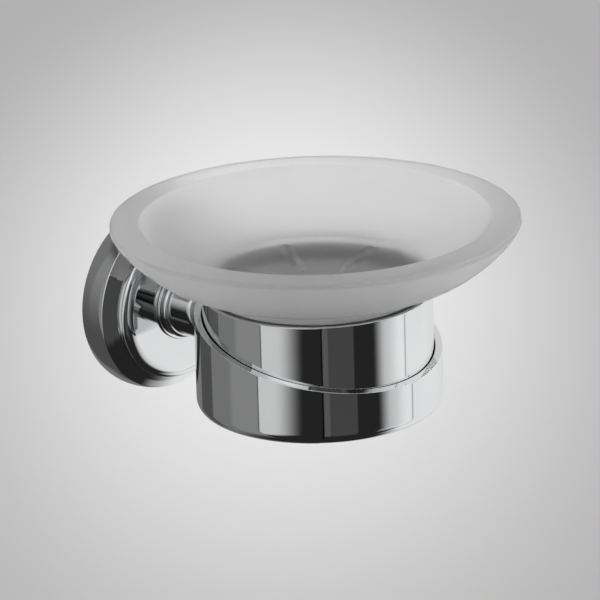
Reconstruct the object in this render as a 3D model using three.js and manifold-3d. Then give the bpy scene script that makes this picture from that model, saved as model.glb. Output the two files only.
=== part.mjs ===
// Wall-mounted soap dish: a frosted glass bowl in a two-part chrome holder on a short turned arm.
// Millimetres, +Z up. The wall is the plane y = 0 and the object stands out of it towards -Y.
// The origin is the middle of the wall bracket's back face, on the axis of the arm.
import * as THREE from 'three';
import { mergeVertices } from 'three/addons/utils/BufferGeometryUtils.js';
import Module from 'manifold-3d';

const wasm = await Module();
wasm.setup();

// Driving dimensions
const reach = 73.7;              // wall to the axis of the bowl
const bowlRadius = 60;
const rimHeight = 40.1;          // top of the bowl's rim above the arm's axis
const holderRadius = 36.4;       // outside of the collar
const holderDrop = 17.6;         // underside of the collar below the arm's axis
const sleeveTop = 17.9;          // top of the sleeve above the arm's axis
const rosetteRadius = 28.5;      // at its fullest, a little way out from the wall
const rosetteDepth = 14.75;      // wall to the rosette's front face

// Clearances
const slipGap = 0.3;             // between a piece and the hole or bore that it passes through
const turnGap = 0.2;             // between the bowl's foot and the ring that it turns in
const seatGap = 0.1;             // between a piece and the flat face that it rests on
const cutGap = 0.3;              // between a hollowed face and the round wall that it fits
const overrun = 2;               // how far a cutting tool runs past the piece

// Round resolution
const wideSteps = 56;
const armSteps = 36;
const smallSteps = 20;
const cornerSteps = 3;
const bellySteps = 9;
const sideSteps = 6;

const quarter = Math.PI / 2;

// Wall bracket
const bracketThickness = 5;
const bracketBevel = 0.8;
const wallScrewSpacing = 30;
const wallScrewHole = 2.3;
const wallScrewSink = 4.4;
const sinkDepth = 2.4;

// Rosette
const rosetteWall = 2.6;
const faceWall = 1.8;
const flangeDepth = 8.8;         // wall to the flange's front edge
const flangeFull = 3.5;          // wall to where the flange is fullest
const flangeTuck = 0.6;          // the flange is this much smaller at the wall
const flangeTaper = 0.8;         // and this much smaller where its front edge starts to round
const flangeEdge = 0.4;
const flangeRing = 1.8;          // the gentle slope in front of the flange, inside its edge
const flangeRise = 1.15;
const ridgeWidth = 0.2;          // fine step between that slope and the cone
const ridgeRise = 0.15;
const coneWidth = 1.65;          // from the fine step in to the upright side of the raised step
const coneRise = 1;
const faceEdgeWidth = 3.4;       // rounded edge of the front face
const faceEdgeDepth = 1.9;

// Grub screw in the underside of the rosette
const grubRadius = 1.5;
const grubLength = 4.6;
const grubSunk = 0.6;
const grubPlace = 2.6;           // distance from the wall
const grubSocket = 0.8;
const grubSocketDepth = 1.6;

// Arm, from the rosette outwards
const baseRingRadius = 11.15;
const baseRingThickness = 0.7;
const baseRingRound = 0.25;
const spigotRadius = 5;
const beadRadius = 10.25;
const beadRound = 1.1;
const barrelRadius = 9;          // where the barrel leaves the bead
const barrelTaper = 0.5;         // the barrel is this much thinner where it meets the collar

// Screws that hold the arm, and their washers
const screwRadius = 2.5;
const screwBevel = 0.4;
const screwHead = 4.5;
const screwHeadLength = 3;
const screwSocket = 2;
const screwSocketDepth = 1.6;
const screwGripShare = 0.32;     // thread in the arm, as a share of the arm's length
const screwTipRoom = 1;
const washerRadius = 7;
const saddleRadius = 5;          // of the washer inside the sleeve, rounded to lie on its wall
const washerThickness = 1;

// Collar
const collarWall = 2.2;
const collarFloor = 2.2;
const collarRound = 3.6;
const collarSlope = 0.24;        // rise of the rim for each millimetre towards the wall
const collarMiddle = 5.8;        // height of the rim at the holder's axis

// Sleeve
const sleeveWall = 1.3;
const sleeveLip = 0.35;
const ledgeDrop = 8.8;           // from the sleeve's top to the ledge that carries the seat ring
const ledgeWidth = 2.8;
const ledgeThickness = 1;

// Seat ring, a soft channel round the bowl's foot that also fills the gap at the sleeve's mouth
const ringBase = 1.2;
const ringSide = 1.7;            // outer wall of the channel
const ringLip = 0.7;             // inner wall of the channel
const ringHeight = 4.4;          // of the inner wall
const ringDrop = 0.15;           // from the sleeve's top to the top of the outer wall

// Bowl
const rimWidth = 8.5;            // flat ground ring on top
const rimRound = 0.5;
const creaseRise = 3.6;          // from the sleeve's top to the crease where the bowl's wall meets its foot
const creaseOverhang = 1.6;      // how far the crease stands out past the foot
const footFlare = 0.8;
const footShoulder = 1;          // how far the foot is set in below the sleeve's top
const footThickness = 3.4;
const footRound = 0.8;
const floorDrop = 1.5;           // from the crease down to the middle of the bowl's floor
const floorThickness = 5.2;
const outerBellyShares = [0.45, 0, 0.9, 0.68];
const innerBellyShares = [0.6, 0, 0.93, 0.55];

// Ribs that keep the soap off the bowl's floor
const ribCount = 6;
const ribInner = 12;
const ribOuter = 26;
const ribWidth = 3;
const ribHeight = 1.3;
const ribTurn = 8;               // degrees from the +X axis to the first rib
const ribSteps = 6;
const ribRoot = 1;               // how far a rib's solid reaches into the glass

// Sizes that follow from the ones above
const flangeFront = rosetteRadius - flangeTaper;
const stepRadius = flangeFront - flangeEdge - flangeRing - ridgeWidth - coneWidth;
const bracketRadius = rosetteRadius - rosetteWall - slipGap;
const faceBack = rosetteDepth - faceWall;
const washerFront = faceBack - seatGap;
const armScrewSeat = washerFront - washerThickness - seatGap;
const baseRingBack = rosetteDepth + seatGap;
const beadBack = baseRingBack + baseRingThickness + seatGap;
const collarInner = holderRadius - collarWall;
const collarFloorTop = -holderDrop + collarFloor;
const sleeveRadius = collarInner - slipGap;
const sleeveInner = sleeveRadius - sleeveWall;
const saddleBack = Math.sqrt((sleeveInner - cutGap) ** 2 - saddleRadius ** 2);
const ledgeTop = sleeveTop - ledgeDrop;
const ledgeInner = sleeveInner - ledgeWidth;
const ringOuter = sleeveInner - slipGap;
const ringBottom = ledgeTop + seatGap;
const footNeck = ringOuter - ringSide - turnGap;
const footOuter = footNeck + footShoulder;
const footInner = footNeck - footThickness;
const footBottom = ringBottom + ringBase + seatGap;
const creaseRadius = footOuter + creaseOverhang;
const creaseHeight = sleeveTop + creaseRise;
const floorHeight = creaseHeight - floorDrop;
const boreRadius = screwRadius + slipGap;
const screwGrip = screwGripShare * (reach - holderRadius - faceBack);

const chrome = new THREE.MeshStandardMaterial({ color: 0xc8cacc, roughness: 0.06, metalness: 1 });
const steel = new THREE.MeshStandardMaterial({ color: 0x9a9c9e, roughness: 0.35, metalness: 1 });
const softDark = new THREE.MeshStandardMaterial({ color: 0x3a3b3d, roughness: 0.5, metalness: 0 });
const frosted = new THREE.MeshStandardMaterial({ color: 0xcfd2d3, roughness: 0.6, metalness: 0 });

const soapDish = new THREE.Group();

function addPiece(name, geometry, material) {
  const mesh = new THREE.Mesh(geometry, material);
  mesh.name = name;
  soapDish.add(mesh);
}

// Outlines are lists of [radius, height] that run up the outside and down the inside
function ellipse(centreR, centreH, radiusR, radiusH, from, to, steps = cornerSteps) {
  const points = [];
  for (let i = 0; i <= steps; i++) {
    const angle = from + ((to - from) * i) / steps;
    points.push([centreR + radiusR * Math.cos(angle), centreH + radiusH * Math.sin(angle)]);
  }
  return points;
}

function arc(centreR, centreH, radius, from, to, steps) {
  return ellipse(centreR, centreH, radius, radius, from, to, steps);
}

// A curve between two corners, whose handles are given as shares of the way from start to end
function belly(start, end, shares, steps = bellySteps) {
  const [r0, h0] = start;
  const [r1, h1] = end;
  const curve = new THREE.CubicBezierCurve(
    new THREE.Vector2(r0, h0),
    new THREE.Vector2(r0 + (r1 - r0) * shares[0], h0 + (h1 - h0) * shares[1]),
    new THREE.Vector2(r0 + (r1 - r0) * shares[2], h0 + (h1 - h0) * shares[3]),
    new THREE.Vector2(r1, h1)
  );
  return curve.getPoints(steps).map((point) => [point.x, point.y]);
}

function turned(outline, steps) {
  return new THREE.LatheGeometry(outline.map(([r, h]) => new THREE.Vector2(r, h)), steps);
}

// Turned about the upright axis of the holder
function turnedUpright(outline, steps = wideSteps) {
  return turned(outline, steps).rotateX(quarter).translate(0, -reach, 0);
}

// Turned about the arm's axis, where a height is a distance from the wall
function turnedOnArm(outline, steps = wideSteps) {
  return turned(outline, steps).rotateX(Math.PI);
}

// A plain round bar on the arm's axis between two distances from the wall
function armBar(radius, from, to, steps = smallSteps) {
  return turnedOnArm([[0, from], [radius, from], [radius, to], [0, to]], steps);
}

// A plain round post on the holder's axis between two heights
function uprightPost(radius, from, to) {
  return turnedUpright([[0, from], [radius, from], [radius, to], [0, to]]);
}

function toSolid(geometry) {
  const bare = geometry.clone();
  bare.deleteAttribute('normal');
  bare.deleteAttribute('uv');
  const merged = mergeVertices(bare);
  return new wasm.Manifold(new wasm.Mesh({
    numProp: 3,
    vertProperties: new Float32Array(merged.attributes.position.array),
    triVerts: new Uint32Array(merged.index.array)
  }));
}

function toGeometry(solid) {
  const mesh = solid.getMesh();
  const geometry = new THREE.BufferGeometry();
  geometry.setAttribute('position', new THREE.BufferAttribute(mesh.vertProperties, 3));
  geometry.setIndex(new THREE.BufferAttribute(mesh.triVerts, 1));
  geometry.computeVertexNormals();
  return geometry;
}

function cut(geometry, ...tools) {
  let solid = toSolid(geometry);
  for (const tool of tools) solid = solid.subtract(toSolid(tool));
  return toGeometry(solid);
}

function joined(geometry, ...others) {
  let solid = toSolid(geometry);
  for (const other of others) solid = solid.add(toSolid(other));
  return toGeometry(solid);
}

function wallBracket() {
  const disc = turnedOnArm([
    [0, 0],
    [bracketRadius, 0],
    [bracketRadius, bracketThickness - bracketBevel],
    [bracketRadius - bracketBevel, bracketThickness],
    [0, bracketThickness]
  ]);
  const holes = [-1, 1].map((side) => turnedOnArm([
    [0, -overrun],
    [wallScrewHole, -overrun],
    [wallScrewHole, bracketThickness - sinkDepth],
    [wallScrewSink, bracketThickness],
    [wallScrewSink, bracketThickness + overrun],
    [0, bracketThickness + overrun]
  ], smallSteps).translate((side * wallScrewSpacing) / 2, 0, 0));
  return cut(disc, ...holes, grubTool());
}

// The hole that the grub screw runs in, through the rosette's wall and into the bracket's edge
function grubTool() {
  const length = overrun + grubSunk + grubLength + slipGap;
  return new THREE.CylinderGeometry(grubRadius + slipGap, grubRadius + slipGap, length, smallSteps)
    .rotateX(quarter)
    .translate(0, -grubPlace, -rosetteRadius - overrun + length / 2);
}

// The flange's side, from the wall to where its front edge starts to round
function flangeSide() {
  const end = flangeDepth - flangeEdge;
  const points = [];
  for (let i = 0; i <= sideSteps; i++) {
    const place = (end * i) / sideSteps;
    const [drop, span] = place < flangeFull ? [flangeTuck, flangeFull] : [flangeTaper, end - flangeFull];
    points.push([rosetteRadius - drop * ((place - flangeFull) / span) ** 2, place]);
  }
  return points;
}

function rosette() {
  const stepInside = stepRadius - rosetteWall;
  const flangeInside = rosetteRadius - rosetteWall;
  const flangeInsideFace = flangeDepth - faceWall;
  const ridgeBack = flangeDepth + flangeRise;
  const coneBack = ridgeBack + ridgeRise;
  const edgeBack = rosetteDepth - faceEdgeDepth;
  const cup = turnedOnArm([
    ...flangeSide(),
    ...arc(flangeFront - flangeEdge, flangeDepth - flangeEdge, flangeEdge, 0, quarter).slice(1),
    [stepRadius + coneWidth + ridgeWidth, ridgeBack],
    [stepRadius + coneWidth, coneBack],
    [stepRadius, coneBack + coneRise],
    ...ellipse(stepRadius - faceEdgeWidth, edgeBack, faceEdgeWidth, faceEdgeDepth, 0, quarter, 2 * cornerSteps),
    [spigotRadius + slipGap, rosetteDepth],
    [spigotRadius + slipGap, faceBack],
    [stepInside, faceBack],
    [stepInside, flangeInsideFace],
    [flangeInside, flangeInsideFace],
    [flangeInside, 0],
    [rosetteRadius - flangeTuck, 0]
  ]);
  return cut(cup, grubTool());
}

// A six-sided socket for the top of a screw that stands up along +Y before it is placed
function socketTool(radius, depth, top) {
  const length = depth + overrun;
  return new THREE.CylinderGeometry(radius, radius, length, 6).translate(0, top - depth + length / 2, 0);
}

function grubScrew() {
  const bevel = grubRadius - grubSocket;
  const body = turned([
    [0, 0],
    [grubRadius - bevel, 0],
    [grubRadius, bevel],
    [grubRadius, grubLength - bevel],
    [grubRadius - bevel / 2, grubLength],
    [0, grubLength]
  ], smallSteps);
  return cut(body, socketTool(grubSocket, grubSocketDepth, grubLength))
    .rotateX(-quarter)
    .translate(0, -grubPlace, -rosetteRadius + grubSunk + grubLength);
}

// The thin disc that the arm is pulled against the rosette with
function baseRing() {
  const front = baseRingBack + baseRingThickness;
  const roundR = baseRingRadius - baseRingRound;
  return turnedOnArm([
    ...arc(roundR, baseRingBack + baseRingRound, baseRingRound, -quarter, 0),
    ...arc(roundR, front - baseRingRound, baseRingRound, 0, quarter),
    [spigotRadius + slipGap, front],
    [spigotRadius + slipGap, baseRingBack],
    [roundR, baseRingBack]
  ], armSteps);
}

function arm() {
  const beadFront = beadBack + 2 * beadRound;
  const holderSide = reach - holderRadius;
  const throughWall = reach - collarInner;
  const barrelEnd = barrelRadius - barrelTaper;
  const body = turnedOnArm([
    [0, faceBack + seatGap],
    [spigotRadius, faceBack + seatGap],
    [spigotRadius, beadBack],
    ...arc(beadRadius - beadRound, beadBack + beadRound, beadRound, -quarter, quarter, 2 * cornerSteps),
    [barrelRadius, beadFront],
    [barrelEnd, holderSide],
    [barrelEnd, throughWall],
    [0, throughWall]
  ], armSteps);
  const backBore = armBar(boreRadius, faceBack - overrun, faceBack + screwGrip + screwTipRoom);
  const frontBore = armBar(boreRadius, holderSide - screwGrip - screwTipRoom, throughWall + overrun);
  const holder = uprightPost(holderRadius + cutGap, -barrelRadius - overrun, barrelRadius + overrun);
  return cut(body, backBore, frontBore, holder);
}

// Cap screw on its own axis: the underside of its head is at height 0 and its shank points down
function capScrew(shankLength) {
  const body = turned([
    [0, -shankLength],
    [screwRadius - screwBevel, -shankLength],
    [screwRadius, screwBevel - shankLength],
    [screwRadius, 0],
    [screwHead, 0],
    [screwHead, screwHeadLength - screwBevel],
    [screwHead - screwBevel, screwHeadLength],
    [0, screwHeadLength]
  ], smallSteps);
  return cut(body, socketTool(screwSocket, screwSocketDepth, screwHeadLength));
}

// The screw's head is towards the wall, inside the rosette
function armScrew() {
  return capScrew(faceBack + screwGrip - armScrewSeat).translate(0, -armScrewSeat, 0);
}

function armWasher() {
  const back = washerFront - washerThickness;
  return turnedOnArm([
    [washerRadius, back],
    [washerRadius, washerFront],
    [boreRadius, washerFront],
    [boreRadius, back],
    [washerRadius, back]
  ], smallSteps);
}

// Everything that the holder's screw passes through on its way into the arm
function holderScrewTool() {
  return armBar(boreRadius, reach - holderRadius - overrun, reach - ledgeInner);
}

function collar() {
  const tall = collarMiddle + collarSlope * holderRadius + overrun;
  const cup = turnedUpright([
    [0, -holderDrop],
    ...arc(holderRadius - collarRound, collarRound - holderDrop, collarRound, -quarter, 0),
    [holderRadius, tall],
    [collarInner, tall],
    [collarInner, collarFloorTop],
    [0, collarFloorTop]
  ]);
  const width = 2 * (holderRadius + overrun);
  const slant = new THREE.BoxGeometry(width, 2 * width, width)
    .translate(0, 0, width / 2)
    .rotateX(Math.atan(collarSlope))
    .translate(0, -reach, collarMiddle);
  return cut(cup, slant, holderScrewTool());
}

function sleeve() {
  const bottom = collarFloorTop + seatGap;
  const ledgeBottom = ledgeTop - ledgeThickness;
  const tube = turnedUpright([
    [sleeveRadius, bottom],
    [sleeveRadius, sleeveTop - sleeveLip],
    [sleeveRadius - sleeveLip, sleeveTop],
    [sleeveInner, sleeveTop],
    [sleeveInner, ledgeTop],
    [ledgeInner, ledgeTop],
    [ledgeInner, ledgeBottom],
    [sleeveInner, ledgeBottom - ledgeWidth],
    [sleeveInner, bottom],
    [sleeveRadius, bottom]
  ]);
  return cut(tube, holderScrewTool());
}

// Its outer face is rounded to lie on the inside of the sleeve
function holderWasher() {
  const front = reach - saddleBack + washerThickness;
  const blank = armBar(saddleRadius, reach - sleeveInner, front);
  const bore = armBar(boreRadius, reach - sleeveInner - overrun, front + overrun);
  const inside = uprightPost(sleeveInner - cutGap, -saddleRadius - overrun, saddleRadius + overrun);
  return toGeometry(toSolid(blank).subtract(toSolid(bore)).intersect(toSolid(inside)));
}

// The screw's head is inside the sleeve and its shank runs towards the wall
function holderScrew() {
  const seat = reach - saddleBack + washerThickness + seatGap;
  const tip = reach - holderRadius - screwGrip;
  return capScrew(seat - tip).rotateX(Math.PI).translate(0, -seat, 0);
}

function seatRing() {
  const inner = footInner - turnGap;
  const innerTop = ringBottom + ringHeight;
  const outerTop = sleeveTop - ringDrop;
  const base = ringBottom + ringBase;
  return turnedUpright([
    [inner - ringLip, ringBottom],
    [ringOuter, ringBottom],
    [ringOuter, outerTop],
    [ringOuter - ringSide, outerTop],
    [ringOuter - ringSide, base],
    [inner, base],
    [inner, innerTop],
    [inner - ringLip, innerTop],
    [inner - ringLip, ringBottom]
  ]);
}

// Inside of the bowl, from the middle of its floor out to its rim
const innerWall = belly([0, floorHeight], [bowlRadius - rimWidth, rimHeight], innerBellyShares);

function floorAt(radius) {
  const next = innerWall.findIndex(([r]) => r > radius);
  const [r0, h0] = innerWall[next - 1];
  const [r1, h1] = innerWall[next];
  return h0 + ((h1 - h0) * (radius - r0)) / (r1 - r0);
}

function rib(index) {
  const top = [];
  for (let i = 0; i <= ribSteps; i++) {
    const radius = ribInner + ((ribOuter - ribInner) * i) / ribSteps;
    const height = i === 0 || i === ribSteps ? ribHeight / 2 : ribHeight;
    top.push([radius, floorAt(radius) + height]);
  }
  const root = top.map(([radius]) => [radius, floorAt(radius) - ribRoot]).reverse();
  const side = new THREE.Shape([...root, ...top].map(([r, h]) => new THREE.Vector2(r, h)));
  return new THREE.ExtrudeGeometry(side, { depth: ribWidth, bevelEnabled: false })
    .rotateX(quarter)
    .translate(0, ribWidth / 2, 0)
    .rotateZ(THREE.MathUtils.degToRad(ribTurn + (360 * index) / ribCount))
    .translate(0, -reach, 0);
}

function bowl() {
  const underFloor = floorHeight - floorThickness;
  const glass = turnedUpright([
    [0, underFloor],
    [footInner, underFloor],
    ...arc(footInner + footRound, footBottom + footRound, footRound, -2 * quarter, -quarter),
    ...arc(footNeck - footRound, footBottom + footRound, footRound, -quarter, 0),
    ...arc(footNeck, sleeveTop + footShoulder, footShoulder, -quarter, 0),
    [footOuter, creaseHeight - footFlare - footRound],
    [footOuter + footRound, creaseHeight - footFlare / 2],
    ...belly([creaseRadius, creaseHeight], [bowlRadius, rimHeight - rimRound], outerBellyShares),
    ...arc(bowlRadius - rimRound, rimHeight - rimRound, rimRound, 0, quarter).slice(1),
    ...[...innerWall].reverse()
  ]);
  const ribs = Array.from({ length: ribCount }, (_, index) => rib(index));
  return joined(glass, ...ribs);
}

addPiece('wall_bracket', wallBracket(), steel);
addPiece('rosette', rosette(), chrome);
addPiece('grub_screw', grubScrew(), steel);
addPiece('base_ring', baseRing(), chrome);
addPiece('arm', arm(), chrome);
addPiece('arm_washer', armWasher(), steel);
addPiece('arm_screw', armScrew(), steel);
addPiece('collar', collar(), chrome);
addPiece('sleeve', sleeve(), chrome);
addPiece('holder_washer', holderWasher(), steel);
addPiece('holder_screw', holderScrew(), steel);
addPiece('seat_ring', seatRing(), softDark);
addPiece('bowl', bowl(), frosted);

export default soapDish;
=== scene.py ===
from math import cos, pi, radians, sin, tan

import bmesh
import bpy
from mathutils import Matrix, Vector
from mathutils.geometry import interpolate_bezier


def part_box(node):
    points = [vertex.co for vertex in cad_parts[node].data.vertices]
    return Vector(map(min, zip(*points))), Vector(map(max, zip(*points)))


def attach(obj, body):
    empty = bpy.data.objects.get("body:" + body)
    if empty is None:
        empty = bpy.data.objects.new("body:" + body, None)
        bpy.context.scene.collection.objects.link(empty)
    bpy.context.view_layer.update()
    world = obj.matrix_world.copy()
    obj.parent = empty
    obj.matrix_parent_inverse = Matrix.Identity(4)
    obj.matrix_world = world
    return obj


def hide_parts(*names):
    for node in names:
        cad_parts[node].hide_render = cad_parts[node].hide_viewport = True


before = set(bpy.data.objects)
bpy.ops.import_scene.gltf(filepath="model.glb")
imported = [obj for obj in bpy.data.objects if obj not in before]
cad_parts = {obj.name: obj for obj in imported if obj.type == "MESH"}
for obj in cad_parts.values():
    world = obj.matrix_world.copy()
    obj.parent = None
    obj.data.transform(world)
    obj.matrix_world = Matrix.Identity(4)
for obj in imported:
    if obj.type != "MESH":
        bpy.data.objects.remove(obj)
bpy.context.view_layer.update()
print("frame loaded:", len(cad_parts), "nodes")

mm = 0.001
bowlSteps = 256       # faces round each turned piece
wideSteps = 192
armSteps = 128
smallSteps = 64
hexSides = 6
curveSteps = 24       # points along the rosette's two curves
rounding = {"screw": 3, "ring": 4, "plain": 6, "fine": 8, "collar": 12}     # facets in a rounded corner
mergeGap = 0.0005     # millimetres
creaseAngle = 32      # degrees
holderWall = {"collar": 2.2, "sleeve": 1.3}


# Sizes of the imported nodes, in millimetres

def uprightSize(node):                       # radius, bottom and top, about the holder's axis
    low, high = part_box(node)
    return (high.x - low.x) / 2 / mm, low.z / mm, high.z / mm


def armSize(node):                           # radius and the two distances from the wall
    low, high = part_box(node)
    return (high.x - low.x) / 2 / mm, -high.y / mm, -low.y / mm


bowlRadius, bowlBottom, bowlTop = uprightSize("bowl")
collarRadius, collarBottom = uprightSize("collar")[:2]
sleeveRadius, sleeveBottom, sleeveTop = uprightSize("sleeve")
seatRadius, seatBottom, seatTop = uprightSize("seat_ring")
rosetteRadius, wallPlace, rosetteFront = armSize("rosette")
baseRingRadius, baseRingBack, baseRingFront = armSize("base_ring")
bracketRadius, bracketBack, bracketFront = armSize("wall_bracket")
beadRadius, armBack = armSize("arm")[:2]
reach = -(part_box("bowl")[0].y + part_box("bowl")[1].y) / 2 / mm


# Turned shapes: an outline of (radius, height) or (radius, height, corner radius) spun round its axis

def outlineMesh(points, closed, segments):
    bm = bmesh.new()
    verts = [bm.verts.new((point[0] * mm, 0, point[1] * mm)) for point in points]
    for first, second in zip(verts, verts[1:]):
        bm.edges.new((first, second))
    if closed:
        bm.edges.new((verts[-1], verts[0]))
    for vert, point in zip(verts, points):
        if len(point) == 3 and len(vert.link_edges) == 2:
            arms = [edge.other_vert(vert).co - vert.co for edge in vert.link_edges]
            turn = pi - arms[0].angle(arms[1])
            bmesh.ops.bevel(bm, geom=[vert], offset=point[2] * mm * tan(turn / 2), offset_type="OFFSET",
                            segments=segments, profile=0.5, affect="VERTICES", material=-1)
    return bm


def spin(bm, steps):
    bmesh.ops.spin(bm, geom=bm.verts[:] + bm.edges[:], cent=(0, 0, 0), axis=(0, 0, 1), dvec=(0, 0, 0),
                   angle=2 * pi, steps=steps, use_merge=True, use_duplicate=False)
    bmesh.ops.remove_doubles(bm, verts=bm.verts, dist=mergeGap * mm)
    bmesh.ops.recalc_face_normals(bm, faces=bm.faces)


def turned(points, steps=wideSteps, closed=False, segments=rounding["plain"]):
    bm = outlineMesh(points, closed, segments)
    spin(bm, steps)
    return bm


def belly(start, end, shares, steps):        # a curve whose two handles are shares of the way to its end
    across, up = end[0] - start[0], end[1] - start[1]
    knots = [Vector((start[0], start[1])),
             Vector((start[0] + across * shares[0], start[1] + up * shares[1])),
             Vector((start[0] + across * shares[2], start[1] + up * shares[3])),
             Vector((end[0], end[1]))]
    return [tuple(point) for point in interpolate_bezier(*knots, steps)]


def placeUpright(bm):
    bmesh.ops.translate(bm, vec=(0, -reach * mm, 0), verts=bm.verts)


def placeOnArm(bm):                          # height becomes the distance from the wall
    bmesh.ops.rotate(bm, cent=(0, 0, 0), matrix=Matrix.Rotation(pi / 2, 3, "X"), verts=bm.verts)


def makePiece(name, bm):
    mesh = bpy.data.meshes.new(name)
    bm.to_mesh(mesh)
    bm.free()
    piece = bpy.data.objects.new(name, mesh)
    bpy.context.scene.collection.objects.link(piece)
    return piece


def armBar(radius, start, end):
    bm = turned([(0, start), (radius, start), (radius, end), (0, end)], smallSteps)
    placeOnArm(bm)
    return makePiece("tool", bm)


def uprightPost(radius, bottom, top):
    bm = turned([(0, bottom), (radius, bottom), (radius, top), (0, top)])
    placeUpright(bm)
    return makePiece("tool", bm)


def carve(piece, tool, operation="DIFFERENCE"):
    modifier = piece.modifiers.new("carve", "BOOLEAN")
    modifier.object = tool
    modifier.operation = operation
    modifier.solver = "EXACT"
    bpy.context.view_layer.update()
    carved = bpy.data.meshes.new_from_object(piece.evaluated_get(bpy.context.evaluated_depsgraph_get()))
    piece.modifiers.clear()
    piece.data = carved
    bpy.data.objects.remove(tool)


def finishPiece(piece, material, node, body):
    bm = bmesh.new()
    bm.from_mesh(piece.data)
    for face in bm.faces:
        face.smooth = True
    for edge in bm.edges:
        edge.smooth = edge.calc_face_angle(0) < radians(creaseAngle)
    bm.to_mesh(piece.data)
    bm.free()
    evenNormals = piece.modifiers.new("evenNormals", "WEIGHTED_NORMAL")
    evenNormals.keep_sharp = True
    piece.data.materials.clear()
    piece.data.materials.append(material)
    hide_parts(node)
    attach(piece, body)
    return piece


# Materials

def newSocket(group, name, way):
    group.interface.new_socket(name, in_out=way, socket_type="NodeSocketFloat")


mottleLook = {"patchDetail": 3, "patchRoughness": 0.55, "grainDetail": 2, "spread": (0.32, 0.68)}


def mottleGroup():                           # soft uneven patches and a fine grain, both 0 to 1
    group = bpy.data.node_groups.new("mottle", "ShaderNodeTree")
    newSocket(group, "Patch Scale", "INPUT")
    newSocket(group, "Grain Scale", "INPUT")
    newSocket(group, "Patches", "OUTPUT")
    newSocket(group, "Grain", "OUTPUT")
    nodes, links = group.nodes, group.links
    entry, leave = nodes.new("NodeGroupInput"), nodes.new("NodeGroupOutput")
    place = nodes.new("ShaderNodeTexCoord")
    patches, grain = nodes.new("ShaderNodeTexNoise"), nodes.new("ShaderNodeTexNoise")
    patches.inputs["Detail"].default_value = mottleLook["patchDetail"]
    patches.inputs["Roughness"].default_value = mottleLook["patchRoughness"]
    grain.inputs["Detail"].default_value = mottleLook["grainDetail"]
    spread = nodes.new("ShaderNodeMapRange")
    spread.interpolation_type = "SMOOTHSTEP"
    spread.inputs["From Min"].default_value = mottleLook["spread"][0]
    spread.inputs["From Max"].default_value = mottleLook["spread"][1]
    links.new(place.outputs["Object"], patches.inputs["Vector"])
    links.new(place.outputs["Object"], grain.inputs["Vector"])
    links.new(entry.outputs["Patch Scale"], patches.inputs["Scale"])
    links.new(entry.outputs["Grain Scale"], grain.inputs["Scale"])
    links.new(patches.outputs["Fac"], spread.inputs["Value"])
    links.new(spread.outputs["Result"], leave.inputs["Patches"])
    links.new(grain.outputs["Fac"], leave.inputs["Grain"])
    return group


mottle = mottleGroup()


def newMaterial(name, metallic=0.0):
    material = bpy.data.materials.new(name)
    material.use_nodes = True
    shader = material.node_tree.nodes["Principled BSDF"]
    shader.inputs["Metallic"].default_value = metallic
    return material, material.node_tree.nodes, material.node_tree.links, shader


def addMottle(nodes, patchScale, grainScale):
    node = nodes.new("ShaderNodeGroup")
    node.node_tree = mottle
    node.inputs["Patch Scale"].default_value = patchScale
    node.inputs["Grain Scale"].default_value = grainScale
    return node


def mixedColour(nodes, links, factor, first, second):
    mix = nodes.new("ShaderNodeMix")
    mix.data_type = "RGBA"
    mix.inputs["A"].default_value = (*first, 1)
    mix.inputs["B"].default_value = (*second, 1)
    links.new(factor, mix.inputs["Factor"])
    return mix.outputs["Result"]


def ranged(nodes, links, value, low, high):
    span = nodes.new("ShaderNodeMapRange")
    span.inputs["To Min"].default_value = low
    span.inputs["To Max"].default_value = high
    links.new(value, span.inputs["Value"])
    return span.outputs["Result"]


def addBump(nodes, links, shader, height, look):
    bump = nodes.new("ShaderNodeBump")
    bump.inputs["Strength"].default_value = look["bump"]
    bump.inputs["Distance"].default_value = look["bumpDepth"] * mm
    links.new(height, bump.inputs["Height"])
    links.new(bump.outputs["Normal"], shader.inputs["Normal"])


def addColour(nodes, links, shader, factor, first, second):
    links.new(mixedColour(nodes, links, factor, first, second), shader.inputs["Base Color"])


def addRoughness(nodes, links, shader, value, look):
    links.new(ranged(nodes, links, value, *look["roughness"]), shader.inputs["Roughness"])


chromeLook = {"bright": (0.8, 0.805, 0.81), "handled": (0.77, 0.775, 0.785), "roughness": (0.03, 0.055),
              "patchScale": 45, "grainScale": 900}


def chromeMaterial():
    material, nodes, links, shader = newMaterial("polishedChrome", 1.0)
    uneven = addMottle(nodes, chromeLook["patchScale"], chromeLook["grainScale"])
    addColour(nodes, links, shader, uneven.outputs["Patches"], chromeLook["bright"], chromeLook["handled"])
    addRoughness(nodes, links, shader, uneven.outputs["Patches"], chromeLook)
    return material


steelLook = {"bracket": {"bright": (0.62, 0.63, 0.65), "dull": (0.5, 0.51, 0.52), "roughness": (0.28, 0.42),
                         "patchScale": 260, "grainScale": 2600, "bump": 0.15, "bumpDepth": 0.05},
             "screw": {"bright": (0.6, 0.6, 0.6), "dull": (0.5, 0.5, 0.5), "roughness": (0.2, 0.3),
                       "patchScale": 180, "grainScale": 3200, "bump": 0.1, "bumpDepth": 0.05}}


def steelMaterial(kind):
    look = steelLook[kind]
    material, nodes, links, shader = newMaterial(kind + "Steel", 1.0)
    uneven = addMottle(nodes, look["patchScale"], look["grainScale"])
    addColour(nodes, links, shader, uneven.outputs["Patches"], look["bright"], look["dull"])
    addRoughness(nodes, links, shader, uneven.outputs["Grain"], look)
    addBump(nodes, links, shader, uneven.outputs["Grain"], look)
    return material


# The third colour is painted shade for the deep middle of the bowl's inside.
glassLook = {"clear": (0.92, 0.92, 0.92), "cloudy": (0.89, 0.89, 0.89), "wellShade": (0.56, 0.56, 0.56),
             "roughness": (0.5, 0.6), "transmission": 0.85, "bending": 1.5,
             "patchScale": 30, "grainScale": 3000, "bump": 0.25, "bumpDepth": 0.02}


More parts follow.
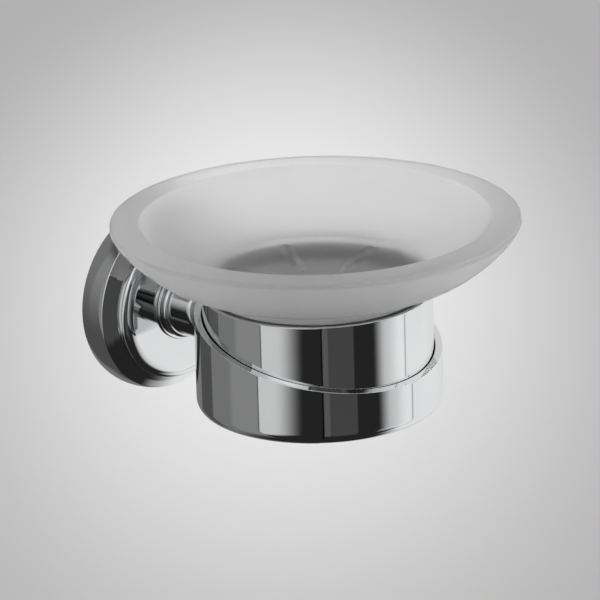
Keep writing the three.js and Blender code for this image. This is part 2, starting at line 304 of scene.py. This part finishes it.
def glassMaterial():
    material, nodes, links, shader = newMaterial("frostedGlass")
    uneven = addMottle(nodes, glassLook["patchScale"], glassLook["grainScale"])
    wall = mixedColour(nodes, links, uneven.outputs["Patches"], glassLook["clear"], glassLook["cloudy"])
    # painted shade: the inside's deep middle is mixed towards a darker grey
    wellShade = nodes.new("ShaderNodeAttribute")
    wellShade.attribute_name = "wellShade"
    wellShaded = mixedColour(nodes, links, wellShade.outputs["Fac"], glassLook["clear"], glassLook["wellShade"])
    links.new(wall, wellShaded.node.inputs["A"])
    links.new(wellShaded, shader.inputs["Base Color"])
    addRoughness(nodes, links, shader, uneven.outputs["Grain"], glassLook)
    shader.inputs["IOR"].default_value = glassLook["bending"]
    shader.inputs["Transmission Weight"].default_value = glassLook["transmission"]
    addBump(nodes, links, shader, uneven.outputs["Grain"], glassLook)
    return material


# The seat ring is coloured near-black all over; it makes the dark band between the glass foot and the sleeve.
softLook = {"dark": (0.055, 0.055, 0.058), "dusty": (0.075, 0.075, 0.077), "roughness": (0.45, 0.6),
            "patchScale": 120, "grainScale": 2000, "bump": 0.15, "bumpDepth": 0.02}


def softMaterial():
    material, nodes, links, shader = newMaterial("darkSeatRing")
    uneven = addMottle(nodes, softLook["patchScale"], softLook["grainScale"])
    addColour(nodes, links, shader, uneven.outputs["Patches"], softLook["dark"], softLook["dusty"])
    addRoughness(nodes, links, shader, uneven.outputs["Patches"], softLook)
    addBump(nodes, links, shader, uneven.outputs["Grain"], softLook)
    return material


chrome = chromeMaterial()
bracketSteel = steelMaterial("bracket")
screwSteel = steelMaterial("screw")
frostedGlass = glassMaterial()
darkSeat = softMaterial()
print("materials made")


# Wall bracket, rosette and the little screw that locks them

gap = {"slip": 0.3, "seat": 0.1, "turn": 0.2, "holder": 0.02}
screw = {"shank": 2.5, "head": 4.5, "headLength": 3, "edge": 0.4, "underHead": 0.15, "socket": 2,
         "socketDepth": 1.6, "washer": 7, "saddle": 5, "washerThickness": 1, "washerRound": 0.15,
         "boreRound": 0.1, "boreEnd": 20, "overrun": 2}
grub = {"radius": 1.5, "length": 4.6, "sunk": 0.6, "place": 2.6, "edge": 0.4,
        "socket": 0.8, "socketDepth": 1.6}
bracket = {"edge": 0.8, "backEdge": 0.2, "spacing": 30, "hole": 2.3, "sink": 4.4, "sinkDepth": 2.4}


def grubTool():
    depth = screw["overrun"] + grub["sunk"] + grub["length"] + gap["slip"]
    bottom = -rosetteRadius - screw["overrun"]
    radius = grub["radius"] + gap["slip"]
    bm = turned([(0, bottom), (radius, bottom), (radius, bottom + depth), (0, bottom + depth)], smallSteps)
    bmesh.ops.translate(bm, vec=(0, -grub["place"] * mm, 0), verts=bm.verts)
    return makePiece("tool", bm)


def makeBracket():
    front, over = bracketFront, screw["overrun"]
    bm = turned([(0, bracketBack), (bracketRadius, bracketBack, bracket["backEdge"]),
                 (bracketRadius, front, bracket["edge"]), (0, front)])
    placeOnArm(bm)
    piece = makePiece("wall_disc", bm)
    for side in (-1, 1):
        hole = turned([(0, -over), (bracket["hole"], -over), (bracket["hole"], front - bracket["sinkDepth"]),
                       (bracket["sink"], front), (bracket["sink"], front + over), (0, front + over)],
                      smallSteps)
        placeOnArm(hole)
        bmesh.ops.translate(hole, vec=(side * bracket["spacing"] / 2 * mm, 0, 0), verts=hole.verts)
        carve(piece, makePiece("tool", hole))
    carve(piece, grubTool())
    return finishPiece(piece, bracketSteel, "wall_bracket", "holder")


rosette = {"wall": 2.6, "faceWall": 1.8, "spigot": 5, "insideCorner": 0.4,
           "flangeDepth": 8.8, "flangeFull": 3.5, "flangeTuck": 0.6, "flangeTaper": 0.8, "flangeEdge": 0.4,
           "edgeRoom": 1.2, "flangeRing": 1.8, "flangeRise": 1.15, "ridgeWidth": 0.2, "ridgeRise": 0.15,
           "coneWidth": 1.65, "coneRise": 1, "faceEdgeWidth": 3.4, "faceEdgeDepth": 1.9, "boreEdge": 0.1}
stepRadius = rosetteRadius - sum(rosette[part] for part in (
    "flangeTaper", "flangeEdge", "flangeRing", "ridgeWidth", "coneWidth"))
faceBack = rosetteFront - rosette["faceWall"]


def flangeSide():                            # fullest a little way out from the wall
    full, end = rosette["flangeFull"], rosette["flangeDepth"] - rosette["edgeRoom"] * rosette["flangeEdge"]
    points = []
    for step in range(curveSteps + 1):
        place = end * step / curveSteps
        drop = rosette["flangeTuck"] if place < full else rosette["flangeTaper"]
        span = full if place < full else rosette["flangeDepth"] - full
        points.append((rosetteRadius - drop * ((place - full) / span) ** 2, wallPlace + place))
    return points


def faceEdge():
    across, along = rosette["faceEdgeWidth"], rosette["faceEdgeDepth"]
    turns = [pi / 2 * step / curveSteps for step in range(curveSteps + 1)]
    return [(stepRadius - across * (1 - cos(turn)), rosetteFront - along * (1 - sin(turn))) for turn in turns]


def makeRosette():
    bore, corner = rosette["spigot"] + gap["slip"], rosette["insideCorner"]
    stepInside, flangeInside = stepRadius - rosette["wall"], rosetteRadius - rosette["wall"]
    insideFace = rosette["flangeDepth"] - rosette["faceWall"]
    coneRadius = stepRadius + rosette["coneWidth"]
    ridgeBack = rosette["flangeDepth"] + rosette["flangeRise"]
    coneBack = ridgeBack + rosette["ridgeRise"]
    bm = turned([
        *flangeSide(),
        (rosetteRadius - rosette["flangeTaper"], rosette["flangeDepth"], rosette["flangeEdge"]),
        (coneRadius + rosette["ridgeWidth"], ridgeBack),
        (coneRadius, coneBack),
        (stepRadius, coneBack + rosette["coneRise"]),
        *faceEdge(),
        (bore, rosetteFront, rosette["boreEdge"]),
        (bore, faceBack),
        (stepInside, faceBack, corner),
        (stepInside, insideFace, corner),
        (flangeInside, insideFace, corner),
        (flangeInside, wallPlace)
    ], closed=True, segments=rounding["fine"])
    placeOnArm(bm)
    piece = makePiece("stepped_rosette", bm)
    carve(piece, grubTool())
    return finishPiece(piece, chrome, "rosette", "holder")


def hexTool(radius, depth, top):
    return turned([(0, top - depth), (radius, top - depth), (radius, top + screw["overrun"]),
                   (0, top + screw["overrun"])], hexSides)


def makeGrub():
    edge = grub["edge"]
    bm = turned([(0, 0), (grub["radius"], 0, edge), (grub["radius"], grub["length"], edge),
                 (0, grub["length"])], smallSteps, segments=rounding["screw"])
    tool = hexTool(grub["socket"], grub["socketDepth"], grub["length"])
    for part in (bm, tool):
        bmesh.ops.rotate(part, cent=(0, 0, 0), matrix=Matrix.Rotation(pi, 3, "X"), verts=part.verts)
        height = -rosetteRadius + grub["sunk"] + grub["length"]
        bmesh.ops.translate(part, vec=(0, -grub["place"] * mm, height * mm), verts=part.verts)
    piece = makePiece("set_screw", bm)
    carve(piece, makePiece("tool", tool))
    return finishPiece(piece, screwSteel, "grub_screw", "holder")


makeBracket()
makeRosette()
makeGrub()
print("wall side made")


# Arm, and the thin ring between it and the rosette

arm = {"ringRound": 0.25, "spigotEdge": 0.2, "beadRound": 1.1, "barrel": 9, "barrelRoot": 0.1,
       "barrelTaper": 0.5, "gripShare": 0.32, "pastGrip": 1}
armLength = reach - collarRadius - faceBack
grip = arm["gripShare"] * armLength


def makeBaseRing():
    bore = rosette["spigot"] + gap["slip"]
    bm = turned([(bore, baseRingBack), (baseRingRadius, baseRingBack, arm["ringRound"]),
                 (baseRingRadius, baseRingFront, arm["ringRound"]), (bore, baseRingFront)],
                armSteps, closed=True)
    placeOnArm(bm)
    return finishPiece(makePiece("arm_base_ring", bm), chrome, "base_ring", "holder")


def makeArm():
    beadBack = baseRingFront + gap["seat"]
    beadFront = beadBack + 2 * arm["beadRound"]
    holderSide = reach - collarRadius
    barrelEnd = arm["barrel"] - arm["barrelTaper"]
    bm = turned([
        (0, armBack),
        (rosette["spigot"], armBack, arm["spigotEdge"]),
        (rosette["spigot"], beadBack),
        (beadRadius, beadBack, arm["beadRound"]),
        (beadRadius, beadFront, arm["beadRound"]),
        (arm["barrel"], beadFront, arm["barrelRoot"]),
        (barrelEnd, holderSide),
        (barrelEnd, reach - sleeveRadius),
        (0, reach - sleeveRadius)
    ], armSteps, segments=rounding["fine"])
    placeOnArm(bm)
    piece = makePiece("turned_arm", bm)
    over = arm["barrel"] + screw["overrun"]
    carve(piece, uprightPost(collarRadius + gap["holder"], -over, over))
    bore, depth = screw["shank"] + gap["slip"], grip + arm["pastGrip"]
    carve(piece, armBar(bore, faceBack - screw["overrun"], faceBack + depth))
    carve(piece, armBar(bore, holderSide - depth, reach - sleeveRadius))
    return finishPiece(piece, chrome, "arm", "holder")


makeBaseRing()
makeArm()
print("arm made")


# Screws and washers that hold the arm on the rosette and the holder on the arm

def capScrew(shankLength):
    bm = turned([(0, -shankLength), (screw["shank"], -shankLength, screw["edge"]), (screw["shank"], 0),
                 (screw["head"], 0, screw["underHead"]), (screw["head"], screw["headLength"], screw["edge"]),
                 (0, screw["headLength"])], smallSteps, segments=rounding["screw"])
    return bm, hexTool(screw["socket"], screw["socketDepth"], screw["headLength"])


armScrewSeat = faceBack - gap["seat"] - screw["washerThickness"] - gap["seat"]
saddlePlace = sleeveRadius - holderWall["sleeve"] - gap["slip"]
saddleBack = (saddlePlace ** 2 - screw["saddle"] ** 2) ** 0.5


def makeArmScrew():
    bm, tool = capScrew(faceBack + grip - armScrewSeat)
    for part in (bm, tool):
        bmesh.ops.rotate(part, cent=(0, 0, 0), matrix=Matrix.Rotation(-pi / 2, 3, "X"), verts=part.verts)
        bmesh.ops.translate(part, vec=(0, -armScrewSeat * mm, 0), verts=part.verts)
    piece = makePiece("arm_bolt", bm)
    carve(piece, makePiece("tool", tool))
    return finishPiece(piece, screwSteel, "arm_screw", "holder")


def makeArmWasher():
    bore, front = screw["shank"] + gap["slip"], faceBack - gap["seat"]
    back, edge = front - screw["washerThickness"], screw["washerRound"]
    bm = turned([(bore, back, screw["boreRound"]), (screw["washer"], back, edge),
                 (screw["washer"], front, edge), (bore, front, screw["boreRound"])],
                smallSteps, closed=True, segments=rounding["screw"])
    placeOnArm(bm)
    return finishPiece(makePiece("arm_bolt_washer", bm), screwSteel, "arm_washer", "holder")


def makeHolderScrew():
    seat = reach - saddleBack + screw["washerThickness"] + gap["seat"]
    bm, tool = capScrew(seat - (reach - collarRadius - grip))
    for part in (bm, tool):
        bmesh.ops.rotate(part, cent=(0, 0, 0), matrix=Matrix.Rotation(pi / 2, 3, "X"), verts=part.verts)
        bmesh.ops.translate(part, vec=(0, -seat * mm, 0), verts=part.verts)
    piece = makePiece("holder_bolt", bm)
    carve(piece, makePiece("tool", tool))
    return finishPiece(piece, screwSteel, "holder_screw", "holder")


def makeHolderWasher():
    bore, front = screw["shank"] + gap["slip"], reach - saddleBack + screw["washerThickness"]
    piece = armBar(screw["saddle"], reach - sleeveRadius, front)
    piece.name = "holder_bolt_washer"
    carve(piece, armBar(bore, reach - sleeveRadius - screw["overrun"], front + screw["overrun"]))
    over = screw["saddle"] + screw["overrun"]
    carve(piece, uprightPost(saddlePlace, -over, over), "INTERSECT")
    return finishPiece(piece, screwSteel, "holder_washer", "holder")


makeArmScrew()
makeArmWasher()
makeHolderScrew()
makeHolderWasher()
print("screws made")


# Holder: the collar with its slanted rim, and the sleeve that stands up out of it

collar = {"floor": 2.2, "corner": 3.6, "insideCorner": 0.8, "rimRise": 0.24, "rimAtAxis": 5.8,
          "rimBand": 1, "edge": 0.22}


def holderBore():
    return armBar(screw["shank"] + gap["slip"], reach - collarRadius - screw["overrun"],
                  reach - screw["boreEnd"])


def makeCollar():
    inner, floorTop = collarRadius - holderWall["collar"], collarBottom + collar["floor"]
    rim, edge = collar["rimAtAxis"], collar["edge"]
    bm = turned([(0, collarBottom), (collarRadius, collarBottom, collar["corner"]), (collarRadius, rim, edge),
                 (inner, rim, edge), (inner, floorTop, collar["insideCorner"]), (0, floorTop)],
                segments=rounding["collar"])
    slant = Matrix.Identity(4)
    slant[2][1] = collar["rimRise"]          # each point of the rim rises with its distance towards the wall
    band = [vert for vert in bm.verts if vert.co.z > (rim - collar["rimBand"]) * mm]
    bmesh.ops.transform(bm, matrix=slant, verts=band)
    placeUpright(bm)
    piece = makePiece("holder_collar", bm)
    carve(piece, holderBore())
    return finishPiece(piece, chrome, "collar", "holder")


sleeve = {"foot": 0.2, "lip": 0.35, "innerLip": 0.3, "ledgeDrop": 8.8, "ledgeWidth": 2.8, "ledge": 1,
          "ledgeEdge": 0.2, "ledgeRoot": 0.5}


def makeSleeve():
    inner, ledgeTop = sleeveRadius - holderWall["sleeve"], sleeveTop - sleeve["ledgeDrop"]
    ledgeInner, ledgeBottom = inner - sleeve["ledgeWidth"], ledgeTop - sleeve["ledge"]
    bm = turned([
        (sleeveRadius, sleeveBottom, sleeve["foot"]),
        (sleeveRadius, sleeveTop, sleeve["lip"]),
        (inner, sleeveTop, sleeve["innerLip"]),
        (inner, ledgeTop),
        (ledgeInner, ledgeTop, sleeve["ledgeEdge"]),
        (ledgeInner, ledgeBottom, sleeve["ledgeEdge"]),
        (inner, ledgeBottom - sleeve["ledgeWidth"], sleeve["ledgeRoot"]),
        (inner, sleeveBottom)
    ], closed=True)
    placeUpright(bm)
    piece = makePiece("holder_sleeve", bm)
    carve(piece, holderBore())
    return finishPiece(piece, chrome, "sleeve", "holder")


makeCollar()
makeSleeve()
print("holder made")


# Seat ring and bowl

seat = {"base": 1.2, "side": 1.7, "lip": 0.7, "innerHeight": 4.4, "footThickness": 3.4,
        "baseEdge": 0.2, "topEdge": 0.3}
footNeck = seatRadius - seat["side"] - gap["turn"]
footInner = footNeck - seat["footThickness"]


def makeSeatRing():
    inner, base = footInner - gap["turn"], seatBottom + seat["base"]
    innerTop = seatBottom + seat["innerHeight"]
    low, high = seat["baseEdge"], seat["topEdge"]
    bm = turned([
        (inner - seat["lip"], seatBottom, low), (seatRadius, seatBottom, low),
        (seatRadius, seatTop, high), (seatRadius - seat["side"], seatTop, high),
        (seatRadius - seat["side"], base, low), (inner, base, low),
        (inner, innerTop, high), (inner - seat["lip"], innerTop, high)
    ], closed=True, segments=rounding["ring"])
    placeUpright(bm)
    return finishPiece(makePiece("soft_seat_ring", bm), darkSeat, "seat_ring", "seat")


# The last two sizes bound the painted shade on the inside floor: full inside the first radius, gone past the
# second.
bowl = {"rimWidth": 8.5, "rimRound": 0.6, "innerRound": 0.4, "creaseRise": 3.6, "creaseOverhang": 1.6,
        "creaseRound": 1.2, "footFlare": 0.8, "footShoulder": 1, "footRound": 0.8, "neckRound": 0.1,
        "hollowRound": 1, "floorDrop": 1.5, "floorThickness": 5.2, "floorSlack": 0.01,
        "outerShares": (0.45, 0, 0.9, 0.68), "outerSteps": 32,
        "innerShares": (0.6, 0, 0.93, 0.55), "innerSteps": 72,
        "grooveDrop": 0.95, "grooveDepth": 0.22, "grooveWidth": 0.7, "grooveRound": 0.1,
        "ribs": 6, "ribInner": 12, "ribOuter": 26, "ribWidth": 3, "ribHeight": 1.3, "ribTurn": 8,
        "ribSoftness": 0.6, "shadeInner": 26, "shadeOuter": 34}


def makeBowl():
    footOuter = footNeck + bowl["footShoulder"]
    creaseRadius, creaseHeight = footOuter + bowl["creaseOverhang"], sleeveTop + bowl["creaseRise"]
    floorHeight = creaseHeight - bowl["floorDrop"]
    underFloor = floorHeight - bowl["floorThickness"]
    groove = bowlTop - bowl["grooveDrop"]    # fine line round the outside, just under the rim
    outer = belly((creaseRadius, creaseHeight), (bowlRadius, groove - bowl["grooveWidth"]),
                  bowl["outerShares"], bowl["outerSteps"])
    inner = belly((0, floorHeight), (bowlRadius - bowl["rimWidth"], bowlTop),
                  bowl["innerShares"], bowl["innerSteps"])
    bm = turned([
        (0, underFloor),
        (footInner, underFloor, bowl["hollowRound"]),
        (footInner, bowlBottom, bowl["footRound"]),
        (footNeck, bowlBottom, bowl["footRound"]),
        (footNeck, sleeveTop, bowl["neckRound"]),
        (footOuter, sleeveTop, bowl["footShoulder"] - bowl["neckRound"]),
        (footOuter, creaseHeight - bowl["footFlare"] - bowl["footRound"], bowl["creaseRound"]),
        (footOuter + bowl["footRound"], creaseHeight - bowl["footFlare"] / 2, bowl["creaseRound"]),
        (*outer[0], bowl["creaseRound"]),
        *outer[2:],
        (bowlRadius - bowl["grooveDepth"], groove, bowl["grooveRound"]),
        (bowlRadius, groove + bowl["grooveDepth"], bowl["grooveRound"]),
        (bowlRadius, bowlTop, bowl["rimRound"]),
        (*inner[-1], bowl["innerRound"]),
        *inner[-2::-1]
    ], bowlSteps)
    raiseRibs(bm, floorHeight)
    paintWellShade(bm, floorHeight)
    placeUpright(bm)
    return finishPiece(makePiece("frosted_bowl", bm), frostedGlass, "bowl", "dish")


def smooth(share):
    share = min(max(share, 0), 1)
    return share * share * (3 - 2 * share)


def isInside(vert, floorHeight):             # on the side of the glass that holds the soap
    return vert.co.z > (floorHeight - bowl["floorSlack"]) * mm and vert.normal.z > 0


def raiseRibs(bm, floorHeight):
    soft, half = bowl["ribSoftness"], bowl["ribWidth"] / 2
    for vert in bm.verts:
        if not isInside(vert, floorHeight):
            continue
        for index in range(bowl["ribs"]):
            turn = Matrix.Rotation(-radians(bowl["ribTurn"] + 360 * index / bowl["ribs"]), 3, "Z")
            along, across = (turn @ vert.co).x / mm, (turn @ vert.co).y / mm
            past = max(bowl["ribInner"] + half - along, along - bowl["ribOuter"] + half, 0)
            inside = half - Vector((past, across)).length
            if inside > -soft:
                vert.co.z += bowl["ribHeight"] * mm * smooth((inside + soft) / (2 * soft))


def paintWellShade(bm, floorHeight):               # painted shade: the deep middle of the inside, darkened where the dark holder below shows through the glass
    wellShade = bm.verts.layers.float.new("wellShade")
    for vert in bm.verts:
        radius = Vector((vert.co.x, vert.co.y)).length / mm
        share = (bowl["shadeOuter"] - radius) / (bowl["shadeOuter"] - bowl["shadeInner"])
        vert[wellShade] = smooth(share) if isInside(vert, floorHeight) else 0


makeSeatRing()
makeBowl()
print("dish made")


# Camera, floor and light

view = {"place": (-0.94525, -1.08301, 0.49553), "turn": -42.91, "tilt": -19.17, "roll": -1.6, "lens": 300,
        "sensor": 36, "clip": (0.1, 20)}


def makeCamera():
    data = bpy.data.cameras.new("camera")
    data.lens = view["lens"]
    data.sensor_width = view["sensor"]
    data.clip_start, data.clip_end = view["clip"]
    camera = bpy.data.objects.new("camera", data)
    bpy.context.scene.collection.objects.link(camera)
    turn = Matrix.Rotation(radians(view["turn"]), 4, "Z")
    tilt = Matrix.Rotation(radians(90 + view["tilt"]), 4, "X")
    roll = Matrix.Rotation(radians(view["roll"]), 4, "Z")
    camera.matrix_world = Matrix.Translation(view["place"]) @ turn @ tilt @ roll
    bpy.context.scene.camera = camera


# The floor's colour holds a painted pool of light, palest in the middle and greyer towards the edge.
floorLook = {"height": -0.35, "size": 8, "roughness": 0.9, "plain": 0.9, "middle": 0.97, "edge": 0.5,
             "start": 0.03, "end": 0.23, "ahead": 0.04, "aside": -0.01}


def makeFloor():
    bm = bmesh.new()
    bmesh.ops.create_grid(bm, x_segments=2, y_segments=2, size=floorLook["size"] / 2)
    bmesh.ops.translate(bm, vec=(0, 0, floorLook["height"]), verts=bm.verts)
    floor = makePiece("floor", bm)
    material, nodes, links, shader = newMaterial("paleFloor")
    shader.inputs["Roughness"].default_value = floorLook["roughness"]
    links.new(paintedFloorLight(nodes, links), shader.inputs["Base Color"])
    clear = nodes.new("ShaderNodeBsdfTransparent")
    facing = nodes.new("ShaderNodeNewGeometry")
    mix = nodes.new("ShaderNodeMixShader")
    links.new(facing.outputs["Backfacing"], mix.inputs[0])
    links.new(shader.outputs["BSDF"], mix.inputs[1])
    links.new(clear.outputs["BSDF"], mix.inputs[2])
    links.new(mix.outputs["Shader"], nodes["Material Output"].inputs["Surface"])
    floor.data.materials.append(material)
    floor.visible_glossy = floor.visible_transmission = floor.visible_diffuse = False


def paintedFloorLight(nodes, links):                # painted pool of light: palest near where the view's middle meets the floor, greyer outwards
    along = Matrix.Rotation(radians(view["turn"]), 3, "Z") @ Vector((0, 1, 0))
    slope = tan(radians(-view["tilt"]))
    ahead = (view["place"][2] - floorLook["height"]) / slope
    across = along.cross(Vector((0, 0, 1)))
    centre = Vector(view["place"]) + along * (ahead + floorLook["ahead"]) + across * floorLook["aside"]
    place, turn = nodes.new("ShaderNodeTexCoord"), nodes.new("ShaderNodeMapping")
    turn.vector_type = "TEXTURE"
    turn.inputs["Location"].default_value = (centre.x, centre.y, floorLook["height"])
    turn.inputs["Rotation"].default_value = (0, 0, radians(view["turn"]))
    turn.inputs["Scale"].default_value = (1, 1 / sin(radians(-view["tilt"])), 1)
    far, shade = nodes.new("ShaderNodeVectorMath"), nodes.new("ShaderNodeMapRange")
    far.operation = "LENGTH"
    shade.interpolation_type = "SMOOTHSTEP"
    for name, value in (("From Min", floorLook["start"]), ("From Max", floorLook["end"]),
                        ("To Min", floorLook["middle"]), ("To Max", floorLook["edge"])):
        shade.inputs[name].default_value = value
    links.new(place.outputs["Object"], turn.inputs["Vector"])
    links.new(turn.outputs["Vector"], far.inputs[0])
    links.new(far.outputs["Value"], shade.inputs["Value"])
    return shade.outputs["Result"]


# A dark card beside the rosette, close enough that little else than the rosette's side mirrors it.
# Millimetres: its corners seen from above, its bottom and top, and the heights between which it fades.
card = {"line": ((-57, 4), (-46, 27), (-20, 42)), "height": (-110, 35), "fade": (-28, 34), "bright": 0.085}


def makeCard():
    bm = bmesh.new()
    low, high = [[bm.verts.new(Vector((*point, height)) * mm) for point in card["line"]]
                 for height in card["height"]]
    for start in range(len(card["line"]) - 1):
        bm.faces.new((low[start], low[start + 1], high[start + 1], high[start]))
    piece = makePiece("dark_card", bm)
    material, nodes, links, shader = newMaterial("darkCard")
    place, split = nodes.new("ShaderNodeTexCoord"), nodes.new("ShaderNodeSeparateXYZ")
    fade, mix = nodes.new("ShaderNodeMapRange"), nodes.new("ShaderNodeMixShader")
    glow, clear = nodes.new("ShaderNodeEmission"), nodes.new("ShaderNodeBsdfTransparent")
    fade.interpolation_type = "SMOOTHSTEP"
    fade.inputs["From Min"].default_value = card["fade"][0] * mm
    fade.inputs["From Max"].default_value = card["fade"][1] * mm
    glow.inputs["Strength"].default_value = card["bright"]
    links.new(place.outputs["Object"], split.inputs["Vector"])
    links.new(split.outputs["Z"], fade.inputs["Value"])
    links.new(fade.outputs["Result"], mix.inputs[0])
    links.new(glow.outputs["Emission"], mix.inputs[1])
    links.new(clear.outputs["BSDF"], mix.inputs[2])
    links.new(mix.outputs["Shader"], nodes["Material Output"].inputs["Surface"])
    nodes.remove(shader)
    piece.data.materials.append(material)
    piece.visible_camera = piece.visible_diffuse = piece.visible_transmission = piece.visible_shadow = False


# The studio round the object, as the chrome and the glass see it. Each panel is a patch of the sky:
# degrees to the right of the camera, the softness and lean of its two sides, degrees above the
# horizon and the softness there, and its brightness. A later panel covers the ones before it. Only
# the light that comes through the glass shows the two backdrops.
studio = {
    "dark": 0.02,
    "panels": {
        "top": {"side": (-181, 181), "soft": (0.5, 0.5), "height": (50, 91), "heightSoft": 16, "bright": 0.7},
        "greyWall": {"side": (-181, -60), "soft": (0.5, 1), "height": (-66, 60), "heightSoft": 22,
                     "bright": 0.2},
        "greyWallEdge": {"side": (-95, -60), "soft": (7, 1), "height": (-50, 50), "heightSoft": 14,
                         "bright": 0.265},
        "frontLight": {"side": (-60, 4.7), "soft": (1, 29), "lean": (0, 1.0), "height": (-42, 80),
                       "heightSoft": 10, "bright": 0.66},
        "frontLightTop": {"side": (-50, -12), "soft": (20, 18), "lean": (0, 0.33), "height": (5, 80),
                          "heightSoft": 20, "bright": 1.05},
        "darkCard": {"side": (1, 35), "soft": (1, 1), "height": (-38, 50), "heightSoft": 6, "bright": 0.065},
        "cardEdge": {"side": (1, 9), "soft": (1, 1), "height": (-38, 50), "heightSoft": 6, "bright": 0.11},
        "darkGap": {"side": (0.8, 3.6), "soft": (1, 1), "height": (-60, 50), "heightSoft": 6, "bright": 0.0},
        "rightEdge": {"side": (55, 181), "soft": (15, 0.5), "height": (-46, 91), "heightSoft": 14,
                      "bright": 0.62},
        "rightLight": {"side": (66, 181), "soft": (27, 0.5), "height": (-46, 91), "heightSoft": 14,
                       "bright": 0.98},
        "rightFloor": {"side": (80, 160), "soft": (20, 14), "height": (-64, 0), "heightSoft": 14,
                       "bright": 0.9},
        "farRight": {"side": (130, 181), "soft": (40, 0.5), "height": (-60, 60), "heightSoft": 14,
                     "bright": 0.74},
        "seam": {"side": (94, 97), "soft": (1, 1), "height": (-44, 60), "heightSoft": 6, "bright": 0.5}
    },
    "backdrop": {"side": (100, 181), "soft": (14, 0.5), "height": (-76, 30), "heightSoft": 14,
                 "bright": 0.87},
    "rightBackdrop": {"side": (60, 172), "soft": (30, 24), "height": (-60, 40), "heightSoft": 14,
                      "bright": 1.8}
}


def panelGroup():
    group = bpy.data.node_groups.new("panel", "ShaderNodeTree")
    nodes, links = group.nodes, group.links
    names = ("Under", "Side", "Height", "From", "To", "Soft From", "Soft To", "Lean From", "Lean To",
             "Bottom", "Top", "Soft Ends", "Brightness")
    for name in names:
        newSocket(group, name, "INPUT")
    newSocket(group, "Result", "OUTPUT")
    entry, leave = nodes.new("NodeGroupInput"), nodes.new("NodeGroupOutput")

    def join(source, socket):
        links.new(entry.outputs[source] if isinstance(source, str) else source, socket)

    def work(operation, *sources):
        node = nodes.new("ShaderNodeMath")
        node.operation = operation
        for source, socket in zip(sources, node.inputs):
            join(source, socket)
        return node.outputs["Value"]

    def edge(value, start, end):
        step = nodes.new("ShaderNodeMapRange")
        step.interpolation_type = "SMOOTHSTEP"
        join(value, step.inputs["Value"])
        join(start, step.inputs["From Min"])
        join(end, step.inputs["From Max"])
        return step.outputs["Result"]

    left = work("MULTIPLY_ADD", "Lean From", "Height", "From")
    right = work("MULTIPLY_ADD", "Lean To", "Height", "To")
    sides = work("MULTIPLY", edge("Side", left, work("ADD", left, "Soft From")),
                 edge("Side", right, work("SUBTRACT", right, "Soft To")))
    ends = work("MULTIPLY", edge("Height", "Bottom", work("ADD", "Bottom", "Soft Ends")),
                edge("Height", "Top", work("SUBTRACT", "Top", "Soft Ends")))
    blend = nodes.new("ShaderNodeMix")
    join(work("MULTIPLY", sides, ends), blend.inputs["Factor"])
    join("Under", blend.inputs["A"])
    join("Brightness", blend.inputs["B"])
    links.new(blend.outputs["Result"], leave.inputs["Result"])
    return group


def addPanel(nodes, links, group, panel, side, height, under):
    node = nodes.new("ShaderNodeGroup")
    node.node_tree = group
    leans = panel.get("lean", (0, 0))
    values = {"From": panel["side"][0], "To": panel["side"][1], "Soft From": panel["soft"][0],
              "Soft To": panel["soft"][1], "Lean From": leans[0], "Lean To": leans[1],
              "Bottom": panel["height"][0], "Top": panel["height"][1], "Soft Ends": panel["heightSoft"],
              "Brightness": panel["bright"], "Under": studio["dark"]}
    for name, value in values.items():
        node.inputs[name].default_value = value
    links.new(side, node.inputs["Side"])
    links.new(height, node.inputs["Height"])
    if under is not None:
        links.new(under, node.inputs["Under"])
    return node.outputs["Result"]


def mathNode(nodes, links, operation, *sources):
    node = nodes.new("ShaderNodeMath")
    node.operation = operation
    for source, socket in zip(sources, node.inputs):
        links.new(source, socket)
    return node.outputs["Value"]


def skyAngles(nodes, links):                 # degrees to the right of the camera and above the horizon
    place, turn = nodes.new("ShaderNodeTexCoord"), nodes.new("ShaderNodeMapping")
    turn.inputs["Rotation"].default_value = (0, 0, radians(90 - view["turn"]))
    split = nodes.new("ShaderNodeSeparateXYZ")
    links.new(place.outputs["Generated"], turn.inputs["Vector"])
    links.new(turn.outputs["Vector"], split.inputs["Vector"])
    around = mathNode(nodes, links, "ARCTAN2", split.outputs["Y"], split.outputs["X"])
    above = mathNode(nodes, links, "ARCSINE", split.outputs["Z"])
    return mathNode(nodes, links, "DEGREES", around), mathNode(nodes, links, "DEGREES", above)


def makeWorld():
    world = bpy.data.worlds.new("studio")
    bpy.context.scene.world = world
    world.use_nodes = True
    nodes, links = world.node_tree.nodes, world.node_tree.links
    side, height = skyAngles(nodes, links)
    group, seen = panelGroup(), None
    for panel in studio["panels"].values():
        seen = addPanel(nodes, links, group, panel, side, height, seen)
    behind = addPanel(nodes, links, group, studio["backdrop"], mathNode(nodes, links, "ABSOLUTE", side),
                      height, seen)
    behind = addPanel(nodes, links, group, studio["rightBackdrop"], side, height, behind)
    path = nodes.new("ShaderNodeLightPath")

    def choose(ray, level, under):           # what one kind of ray sees instead
        mix = nodes.new("ShaderNodeMix")
        links.new(path.outputs[ray], mix.inputs["Factor"])
        links.new(under, mix.inputs["A"])
        if isinstance(level, float):
            mix.inputs["B"].default_value = level
        else:
            links.new(level, mix.inputs["B"])
        return mix.outputs["Result"]

    seen = choose("Is Transmission Ray", behind, seen)
    seen = choose("Is Diffuse Ray", floorLook["plain"], seen)
    seen = choose("Is Camera Ray", floorLook["plain"] * floorLook["edge"], seen)
    links.new(seen, nodes["Background"].inputs["Color"])


makeCamera()
makeFloor()
makeCard()
makeWorld()
bpy.context.scene.view_settings.view_transform = "Standard"
print("stage made")
